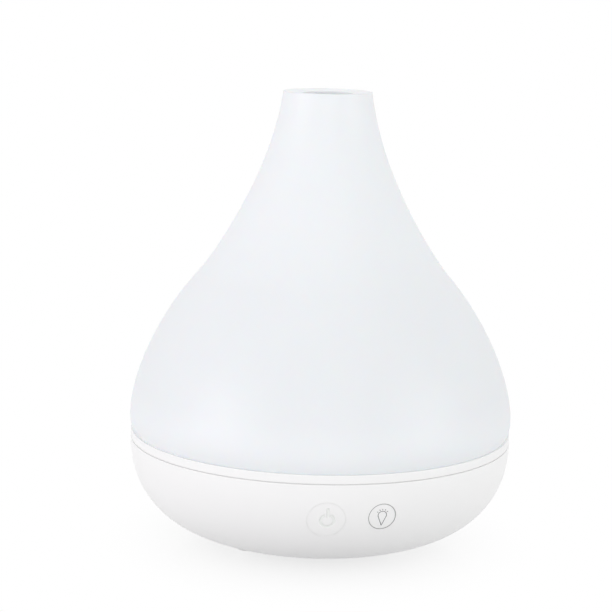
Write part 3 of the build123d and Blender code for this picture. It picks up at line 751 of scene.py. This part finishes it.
@dataclass
class Studio:
    """White sweep without edges, soft lamps and an even pale surround."""

    floor_size: float = 8.0
    floor_colour: Colour = grey(0.70)
    floor_roughness: float = 0.12
    glow: float = 0.69
    glow_start: float = 0.02
    glow_end: float = 0.085
    ambient: float = 0.74
    aim: float = 0.08
    lamps: tuple[Lamp, ...] = (
        Lamp("front", (0.0, -1.6, 0.1), 1.2, 4.1),
        Lamp("left", (-1.1, -0.6, 0.15), 0.9, 6.3, (1.0, 0.97, 1.0)),
        Lamp("right", (1.1, -0.6, 0.15), 0.9, 4.8),
        Lamp("back", (0.0, 1.2, 1.0), 0.8, 1.5),
    )

    def build(self) -> None:
        """Makes floor, world and lamps."""
        self._floor()
        self._world()
        for lamp in self.lamps:
            lamp.build(self.aim)
        log.info("studio with %d lamps", len(self.lamps))

    def _floor(self) -> None:
        """Makes the floor, which fades into the white surround away from the object."""
        half = self.floor_size / 2
        corners = [(-half, -half, 0), (half, -half, 0), (half, half, 0), (-half, half, 0)]
        mesh = bpy.data.meshes.new("floor")
        mesh.from_pydata(corners, [], [(0, 1, 2, 3)])
        floor = bpy.data.objects.new("floor", mesh)
        bpy.context.scene.collection.objects.link(floor)
        material = bpy.data.materials.new("floor")
        material.use_nodes = True
        material.node_tree.nodes.clear()
        tree = ShaderTree(material.node_tree)
        satin = {"Base Color": shade(self.floor_colour), "Roughness": self.floor_roughness}
        plain = tree.node("ShaderNodeBsdfPrincipled", satin)
        white = tree.node("ShaderNodeEmission", {"Color": shade(WHITE), "Strength": 1.0})
        across, along, _ = tree.axes(tree.place())
        away = (across * across + along * along) ** 0.5
        spread = away.step(self.glow_start, self.glow_end) ** 0.5
        glow = self.glow + (1 - self.glow) * spread
        shown = tree.node("ShaderNodeMixShader", {0: glow * self._seen(tree), 1: plain, 2: white})
        tree.node("ShaderNodeOutputMaterial", {"Surface": shown})
        mesh.materials.append(material)

    def _world(self) -> None:
        """Makes the surround: white where it is seen, softer where it lights."""
        world = bpy.data.worlds.new("surround")
        bpy.context.scene.world = world
        world.use_nodes = True
        world.node_tree.nodes.clear()
        tree = ShaderTree(world.node_tree)
        strength = self.ambient + (1 - self.ambient) * self._seen(tree)
        surround = {"Color": shade(WHITE), "Strength": strength}
        tree.node("ShaderNodeOutputWorld",
                  {"Surface": tree.node("ShaderNodeBackground", surround)})

    @staticmethod
    def _seen(tree: ShaderTree) -> Socket:
        """One for rays from the camera, mirrors and glass, else nothing.

        Args:
            tree: The floor's or the world's tree.

        Returns:
            The share.
        """
        outputs = tree.node("ShaderNodeLightPath").socket.node.outputs
        names = ("Is Camera Ray", "Is Glossy Ray", "Is Transmission Ray")
        camera, glossy, clear = (Socket(tree, outputs[name]) for name in names)
        return camera.maximum(glossy).maximum(clear)


def placed(piece: bpy.types.Object, body: str, slot: str, *nodes: str) -> None:
    """Lets a piece ride on a body and stand for CAD nodes, and logs it.

    Args:
        piece: The piece.
        body: The body that it moves with.
        slot: The record's material slot; not used.
        *nodes: CAD nodes that it stands for.
    """
    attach(piece, body)
    if nodes:
        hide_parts(*nodes)
    log.info("%s: %d faces on %s", piece.name, len(piece.data.polygons), body)


@dataclass
class OuterCover:
    """Frosted teardrop shell with a dished top and a spout round the outlet."""

    foot: Point = (69.1 * MM, 42.5 * MM)
    wall: float = 2.0 * MM
    belly_pull: Point = (4.0 * MM, 6.5 * MM)
    shoulder: Point = (66.43 * MM, 76.77 * MM)
    waist: Point = (45.6 * MM, 100.4 * MM)
    waist_pull: float = 6.0 * MM
    neck_pull: Point = (3.9 * MM, -31.0 * MM)
    top_radius: float = 16.1 * MM
    top_land: float = 1.0 * MM
    dish: float = 0.6 * MM
    outlet: float = 9.0 * MM
    spout_wall: float = 1.5 * MM
    spout_length: float = 12.0 * MM
    edge: float = 0.35 * MM
    land_edge: float = 0.3 * MM
    lip_edge: float = 0.5 * MM
    spout_edge: float = 0.4 * MM

    def build(self) -> None:
        """Turns the shell and puts it in the place of the CAD cover."""
        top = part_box("outer_cover")[1].z
        corners = self.foot, self.shoulder, self.waist, (self.top_radius, top)
        foot, shoulder, waist, rim = map(Vector, corners)
        neck_start = waist + (waist - shoulder).normalized() * self.waist_pull
        belly = [foot, foot + Vector(self.belly_pull), shoulder, waist]
        neck = [waist, neck_start, rim + Vector(self.neck_pull), rim]
        inner_belly, inner_neck = moved_in(belly, self.wall), moved_in(neck, self.wall)
        spout_radius, spout_low = self.outlet + self.spout_wall, top - self.spout_length
        land, lip = (self.top_radius - self.top_land, top), (self.outlet, top - self.dish)
        under = top - self.dish - self.wall
        lean = self.neck_pull[0] / -self.neck_pull[1]
        inner_top = Vector((inner_neck[3].x + (inner_neck[3].y - under) * lean, under))
        outline = Outline()
        outline.curve(*belly)
        outline.curve(*neck, rounding=self.edge)
        outline.line(rim, land, rounding=self.land_edge)
        outline.line(land, lip, rounding=self.lip_edge)
        outline.line(lip, (self.outlet, spout_low), (spout_radius, spout_low),
                     rounding=self.spout_edge)
        outline.line((spout_radius, spout_low), (spout_radius, under), inner_top)
        outline.curve(inner_top, *inner_neck[2::-1])
        outline.curve(*inner_belly[::-1])
        outline.line(inner_belly[0], (inner_belly[0].x, foot.y), foot, rounding=self.edge)
        shell = turned("frosted_shell", outline, Finishes.frosted_cover.value)
        placed(shell, "cover", "frosted_cover", "outer_cover")


@dataclass
class InnerLid:
    """Milky dome over the water, with the chimney that ends inside the spout."""

    collar: float = 66.5 * MM
    collar_height: float = 54.0 * MM
    tank_wall: float = 1.8 * MM
    play: float = 0.5 * MM
    wall: float = 1.6 * MM
    skirt: float = 5.0 * MM
    flange: float = 1.6 * MM
    shoulder: float = 20.0 * MM
    chimney: float = 8.4 * MM
    chimney_start: float = 116.0 * MM
    chimney_pull: float = 34.0 * MM
    edge: float = 0.5 * MM
    skirt_edge: float = 0.4 * MM
    step_edge: float = 0.2 * MM

    def build(self) -> None:
        """Turns the lid and puts it in the place of the CAD lid."""
        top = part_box("inner_lid")[1].z
        edge = Vector((self.collar - self.tank_wall - self.play, self.collar_height + self.flange))
        throat = Vector((self.chimney, self.chimney_start))
        rise, fall = Vector((0, self.shoulder)), Vector((0, self.chimney_pull))
        outer = [edge, edge + rise, throat - fall, throat]
        inner = moved_in(outer, self.wall)
        low = self.collar_height - self.skirt
        step, rim = (edge.x, self.collar_height), (self.collar, edge.y)
        outline = Outline()
        outline.line((edge.x, low), step, rounding=self.step_edge)
        outline.line(step, (self.collar, self.collar_height), rim, rounding=self.edge)
        outline.line(rim, edge, rounding=self.edge)
        outline.curve(*outer)
        outline.line(throat, (throat.x, top), (inner[3].x, top), rounding=self.edge)
        outline.line((inner[3].x, top), inner[3])
        outline.curve(*inner[::-1])
        outline.line(inner[0], (inner[0].x, low), (edge.x, low), rounding=self.skirt_edge)
        lid = turned("milky_lid_shell", outline, Finishes.milky_lid.value)
        placed(lid, "inner_lid", "milky_lid", "inner_lid")


@dataclass
class Bowl:
    """The base's bowl, whose outer skin carries the button signs."""

    flat: float = 24.0 * MM
    foot: float = 2.9 * MM
    reach: float = 39.7 * MM
    rim: Point = (70.0 * MM, 39.2 * MM)
    rise: float = 13.7 * MM
    # the band of painted shadow at the bottom of the seam
    seam_inner: float = 69.25 * MM
    seam_outer: float = 69.5 * MM
    seam_height: float = 0.3 * MM
    skin_depth: float = 4.0 * MM
    skin_step: float = 0.5 * MM

    def build(self) -> None:
        """Makes a thin grey band at the bottom of the shadow line over the bowl: painted shadow
        that darkens the line.
        """
        inner, outer = self.seam_inner, self.seam_outer
        low = self.rim[1]
        high = low + self.seam_height
        outline = Outline()
        outline.line((inner, low), (outer, low), (outer, high), (inner, high), (inner, low))
        # painted shadow: a grey band that darkens the seam's shadow line
        band = turned("seam_band", outline, Finishes.seam_shade.value)
        placed(band, "base", "base_plastic")

    def skin(self) -> bpy.types.Object:
        """Turns a block with the bowl's outer surface, as a target for what lies on it.

        Returns:
            The block, which is removed once the signs lie on it.
        """
        rim, start = Vector(self.rim), (self.flat, self.foot)
        outline = Outline()
        outline.curve(start, (self.flat + self.reach, self.foot), (rim.x, rim.y - self.rise), rim)
        outline.line(rim, (rim.x - self.skin_depth, rim.y),
                     (self.flat, self.foot + self.skin_depth), start)
        return turned("skin", outline, Finishes.base_plastic.value, self.skin_step)


class WallTree(GeometryTree):
    """A tree that brings a flat drawing to its place on a curved wall."""

    def __init__(self, name: str, place: Vector, turn: float, sink: float,
                 wall: bpy.types.Object) -> None:
        """Starts the tree with its place as named inputs.

        Args:
            name: The tree's name, in words.
            place: The drawing's centre, in front of the wall, before the turn.
            turn: Turn about Z, in radians, that brings the drawing to its place.
            sink: How far below the wall's surface the drawing lies.
            wall: A piece with the wall's surface.
        """
        super().__init__(name)
        self.spot = self.given("Place", "Vector", tuple(place))
        self.angle = self.given("Turn", "Float", turn)
        self.sink = self.given("Sink", "Float", sink)
        self.wall = self.given("Wall", "Object", wall)

    def dropped(self, mesh: Socket) -> Socket:
        """Stands a flat mesh up, turns it to its place and drops it on the wall.

        Args:
            mesh: The flat mesh, with its relief along Z.

        Returns:
            The mesh on the wall, with its own relief kept.
        """
        upright = {0: mesh, "Rotation": (math.pi / 2, 0.0, 0.0), "Translation": self.spot}
        mesh = self.node("GeometryNodeTransform", upright)
        turn = self.vector(up=self.angle)
        mesh = self.node("GeometryNodeTransform", {0: mesh, "Rotation": turn})
        ahead = {"Vector": (0.0, 1.0, 0.0), "Angle": self.angle}
        inward = self.node("ShaderNodeVectorRotate", ahead, rotation_type="Z_AXIS")
        here = self.node("GeometryNodeInputPosition")
        depth = self.node("ShaderNodeVectorMath", {0: here, 1: inward}, output="Value",
                          operation="DOT_PRODUCT")
        plane = self.axes(self.spot)[1]
        target = self.node("GeometryNodeObjectInfo", {"Object": self.wall}, output="Geometry")
        cast = {"Target Geometry": target, "Ray Direction": inward, "Ray Length": 1.0}
        distance = self.node("GeometryNodeRaycast", cast, output="Hit Distance")
        fall = {0: inward, "Scale": distance + (depth - plane) + self.sink}
        drop = self.node("ShaderNodeVectorMath", fall, operation="SCALE")
        return self.node("GeometryNodeSetPosition", {0: mesh, "Offset": drop})


@dataclass
class Laid:
    """Something that is drawn flat from strokes and then laid on a curved wall."""

    name: str
    width: float
    sink: float
    strokes: list[Stroke]

    def build(self, place: Vector, turn: float, wall: bpy.types.Object,
              finish: Finish) -> bpy.types.Object:
        """Makes the piece.

        Args:
            place: Its centre, in front of the wall, before the turn.
            turn: Turn about Z, in radians, that brings it to its place.
            wall: A piece with the wall's surface.
            finish: Its finish.

        Returns:
            One mesh.
        """
        curve = drawn(self.strokes)
        tree = WallTree(self.name, place, turn, self.sink, wall)
        width = tree.given("Stroke width", "Float", self.width)
        mesh = self.shape(tree, tree.curve_of(curve, "Strokes"), width)
        piece = tree.piece(tree.dropped(mesh), self.name, finish)
        bpy.data.objects.remove(curve)
        return piece

    def shape(self, tree: WallTree, lines: Socket, width: Socket) -> Socket:
        """Makes the flat mesh, with its relief along Z.

        Args:
            tree: The piece's tree.
            lines: The strokes, as curves.
            width: The strokes' width.

        Returns:
            The mesh.
        """
        raise NotImplementedError


@dataclass
class Cap(Laid):
    """Thin round cap that follows the wall, with its strokes pressed into its face."""

    radius: float
    press: float = 0.11 * MM
    slope: float = 0.3 * MM
    thickness: float = 0.2 * MM
    sectors: int = 240
    rings: int = 80
    hidden: int = 8

    def shape(self, tree: WallTree, lines: Socket, width: Socket) -> Socket:
        """Bends a grid into the cap: its rows run out to the edge, then back underneath.

        Args:
            tree: The piece's tree.
            lines: The strokes, as curves.
            width: The strokes' width.

        Returns:
            The mesh.
        """
        radius = tree.given("Radius", "Float", self.radius)
        press = tree.given("Press depth", "Float", self.press)
        slope = tree.given("Slope width", "Float", self.slope)
        thickness = tree.given("Thickness", "Float", self.thickness)
        rows = self.rings + self.hidden
        size = {"Vertices X": self.sectors + 1, "Vertices Y": rows + 1,
                "Size X": 1.0, "Size Y": 1.0}
        grid = tree.node("GeometryNodeMeshGrid", size, output="Mesh")
        across, along, _ = tree.axes(tree.node("GeometryNodeInputPosition"))
        share, edge = along + 0.5, self.rings / rows
        reach = (share / edge).minimum((1.0 - share) / (1.0 - edge)) * radius
        right, up = (across * (2 * math.pi)).around(reach)
        edges = tree.node("GeometryNodeCurveToMesh", {"Curve": lines})
        near = {0: edges, "Source Position": tree.vector(right, up)}
        distance = tree.node("GeometryNodeProximity", near, output="Distance",
                             target_element="EDGES")
        pressed = 1.0 - ((distance - width / 2.0) / slope + 0.5).step(0.0, 1.0)
        under = share.step(edge + 0.1 / rows, edge + 0.9 / rows)
        height = 0.0 - press * pressed * (1.0 - under) - thickness * under
        named = {0: grid, "Name": "pressed", "Value": pressed}
        marked = tree.node("GeometryNodeStoreNamedAttribute", named, data_type="FLOAT",
                           domain="POINT")
        relief = {0: marked, "Position": tree.vector(right, up, height)}
        return tree.node("GeometryNodeSetPosition", relief)


@dataclass
class Sign(Laid):
    """Strokes that lie on the wall as round beads."""

    relief: float
    step: float = 0.06 * MM
    sides: int = 12
    tip: float = 0.01
    rays: int = 0
    ray_ring: float = 0.0
    ray_length: float = 0.0
    ray_lift: float = 0.0
    ray_start: float = 36.0
    ray_spread: float = 108.0

    def shape(self, tree: WallTree, lines: Socket, width: Socket) -> Socket:
        """Sweeps a flat round section along the strokes and the rays.

        Args:
            tree: The piece's tree.
            lines: The strokes, as curves.
            width: The strokes' width.

        Returns:
            The mesh.
        """
        relief = tree.given("Relief", "Float", self.relief)
        if self.rays:
            lines = tree.node("GeometryNodeJoinGeometry", {0: [lines, self._rays(tree)]})
        even = {"Curve": lines, "Length": self.step}
        lines = tree.node("GeometryNodeResampleCurve", even, mode="LENGTH")
        circle = {"Resolution": self.sides, "Radius": 0.5}
        flattened = {0: tree.node("GeometryNodeCurvePrimitiveCircle", circle),
                     "Scale": tree.vector(width, relief * 2.0, 1.0)}
        bead = {"Curve": lines, "Profile Curve": tree.node("GeometryNodeTransform", flattened),
                "Scale": self._taper(tree, width), "Fill Caps": True}
        return tree.node("GeometryNodeCurveToMesh", bead)

    def _rays(self, tree: GeometryTree) -> Socket:
        """Spreads short straight strokes over an arc.

        Args:
            tree: The sign's tree.

        Returns:
            The strokes, as curves.
        """
        number = tree.given("Ray count", "Int", self.rays)
        ring = tree.given("Ray radius", "Float", self.ray_ring)
        half = tree.given("Ray length", "Float", self.ray_length) / 2.0
        lift = tree.given("Ray lift", "Float", self.ray_lift)
        index = tree.node("GeometryNodeInputIndex")
        pitch = math.radians(self.ray_spread) / (number - 1.0)
        angle = math.radians(self.ray_start) + index * pitch
        across, along = angle.around(ring)
        spots = {"Count": number, "Position": tree.vector(across, along + lift)}
        ray = {"Start": tree.vector(half * -1.0), "End": tree.vector(half)}
        spread = {"Points": tree.node("GeometryNodePoints", spots),
                  "Instance": tree.node("GeometryNodeCurvePrimitiveLine", ray),
                  "Rotation": tree.vector(up=angle)}
        rays = tree.node("GeometryNodeInstanceOnPoints", spread)
        return tree.node("GeometryNodeRealizeInstances", {0: rays})

    def _taper(self, tree: GeometryTree, width: Socket) -> Socket:
        """Rounds a stroke's ends and leaves a closed stroke whole.

        Args:
            tree: The sign's tree.
            width: The strokes' width.

        Returns:
            Scale of the bead along a stroke.
        """
        at = tree.node("GeometryNodeSplineParameter", output="Length")
        total = tree.node("GeometryNodeSplineLength", output="Length")
        near = at.minimum(total - at)
        missing = (1.0 - near / (width / 2.0)).maximum(0.0)
        round_end = (1.0 - missing * missing).maximum(self.tip) ** 0.5
        return round_end.maximum(tree.node("GeometryNodeInputSplineCyclic"))


def arc(radius: float, start: float, end: float, count: int) -> list[Vector]:
    """Points of an arc round the origin.

    Args:
        radius: Its radius.
        start: First angle, in degrees from the right, leftwards over the top.
        end: Last angle.
        count: Number of steps.

    Returns:
        The points, both ends included.
    """
    angles = (math.radians(start + (end - start) * k / count) for k in range(count + 1))
    return [radius * Vector((math.cos(angle), math.sin(angle))) for angle in angles]


@dataclass
class ButtonPanel:
    """The two push buttons: a mist sign pressed into the large one, a lamp printed on the other."""

    turn: float = 8.3
    spacing: float = 19.3 * MM
    reach: float = 90.0 * MM
    mist_radius: float = 6.5 * MM
    light_radius: float = 4.7 * MM
    gap: float = 0.25 * MM
    seal_share: float = 1.5
    seal_relief: float = 0.1 * MM
    seal_sink: float = 0.15 * MM
    seal_steps: int = 180
    cap_inset: float = 0.05 * MM
    cap_sink: float = 0.03 * MM
    power_radius: float = 2.25 * MM
    power_width: float = 0.9 * MM
    power_gap: float = 33.0
    power_bar: Point = (1.7 * MM, 4.2 * MM)
    power_shift: Point = (0.4 * MM, -0.3 * MM)
    power_steps: int = 48
    bulb_radius: float = 1.5 * MM
    bulb_point: float = 4.0 * MM
    bulb_lift: float = 0.6 * MM
    bulb_steps: int = 40
    ink_width: float = 0.22 * MM
    ink_relief: float = 0.02 * MM
    ink_sink: float = 0.15 * MM
    rays: int = 5
    ray_ring: float = 2.15 * MM
    ray_length: float = 0.6 * MM

    def build(self, bowl: Bowl) -> None:
        """Makes the signs and the soft rings in the buttons' grooves; the lamp button's ring is
        dark grey, painted shade.

        Args:
            bowl: The bowl whose surface the buttons follow.
        """
        skin = bowl.skin()
        mist_seal = self._seal("mist_seal", self.mist_radius)
        lamp_seal = self._seal("lamp_seal", self.light_radius)
        mist, light = self._place("mist_button", -1), self._place("light_button", 1)
        for sign, place, body, slot, finish in (
                (self._power(), mist, "mist_button", "button_plastic", Finishes.pressed_button),
                (mist_seal, mist, "base", "milky_lid", Finishes.base_plastic),
                # painted shade: the dark grey ring in the lamp button's groove
                (lamp_seal, light, "base", "milky_lid", Finishes.lamp_seal),
                (self._bulb(), light, "light_button", "black_package", Finishes.printed_ink)):
            piece = sign.build(place, math.radians(self.turn), skin, finish.value)
            placed(piece, body, slot)
        bpy.data.objects.remove(skin)

    def _place(self, button: str, side: int) -> Vector:
        """Centre of the left (-1) or right (1) button, in front of the bowl, before the turn."""
        low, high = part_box(button)
        return Vector((side * self.spacing / 2, -self.reach, (low.z + high.z) / 2))

    def _power(self) -> Cap:
        """Round cap with an open ring and an upright bar pressed into it.

        Returns:
            The cap.
        """
        ring = arc(self.power_radius, 90 + self.power_gap, 450 - self.power_gap, self.power_steps)
        bar = [Vector((0, height)) for height in self.power_bar]
        shift = Vector(self.power_shift)
        strokes = [([point + shift for point in stroke], False) for stroke in (ring, bar)]
        radius = self.mist_radius - self.cap_inset
        return Cap("mist_cap", self.power_width, self.cap_sink, strokes, radius)

    def _seal(self, name: str, radius: float) -> Sign:
        """Soft ring just below the surface in the groove round a button; round the lamp button it
        is dark grey, painted shade in the groove.
        """
        ring = arc(radius + self.gap / 2, 0, 360, self.seal_steps)[:-1]
        return Sign(name, self.gap * self.seal_share, self.seal_sink, [(ring, True)],
                    self.seal_relief)

    def _bulb(self) -> Sign:
        """Pear-shaped lamp with rays.

        Returns:
            The sign.
        """
        side = math.degrees(math.asin(self.bulb_radius / self.bulb_point))
        head = arc(self.bulb_radius, -side, 180 + side, self.bulb_steps)
        lift = Vector((0, self.bulb_lift))
        pear = [spot + lift for spot in (Vector((0, -self.bulb_point)), *head)]
        return Sign("lamp_sign", self.ink_width, self.ink_sink, [(pear, True)], self.ink_relief,
                    rays=self.rays, ray_ring=self.ray_ring, ray_length=self.ray_length,
                    ray_lift=self.bulb_lift)


def main(frame: dict[str, object]) -> None:
    """Builds the humidifier's pieces, the studio and the camera, in order.
    """
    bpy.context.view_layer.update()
    bpy.context.scene.view_settings.view_transform = "Standard"
    Camera().build()
    Studio().build()
    slots = {part["node"]: part["material_slot"] for part in frame["record"]["subparts"]}
    for name, piece in frame["nodes"].items():
        finish = Finishes[slots[name]].value
        for slot in piece.material_slots:
            slot.material = finish.material()
        log.info("%s in %s", name, finish.name)
    OuterCover().build()
    InnerLid().build()
    bowl = Bowl()
    bowl.build()
    ButtonPanel().build(bowl)


if __name__ == "__main__":
    logging.basicConfig(level=logging.INFO, format="%(name)s: %(message)s")
    main(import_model())
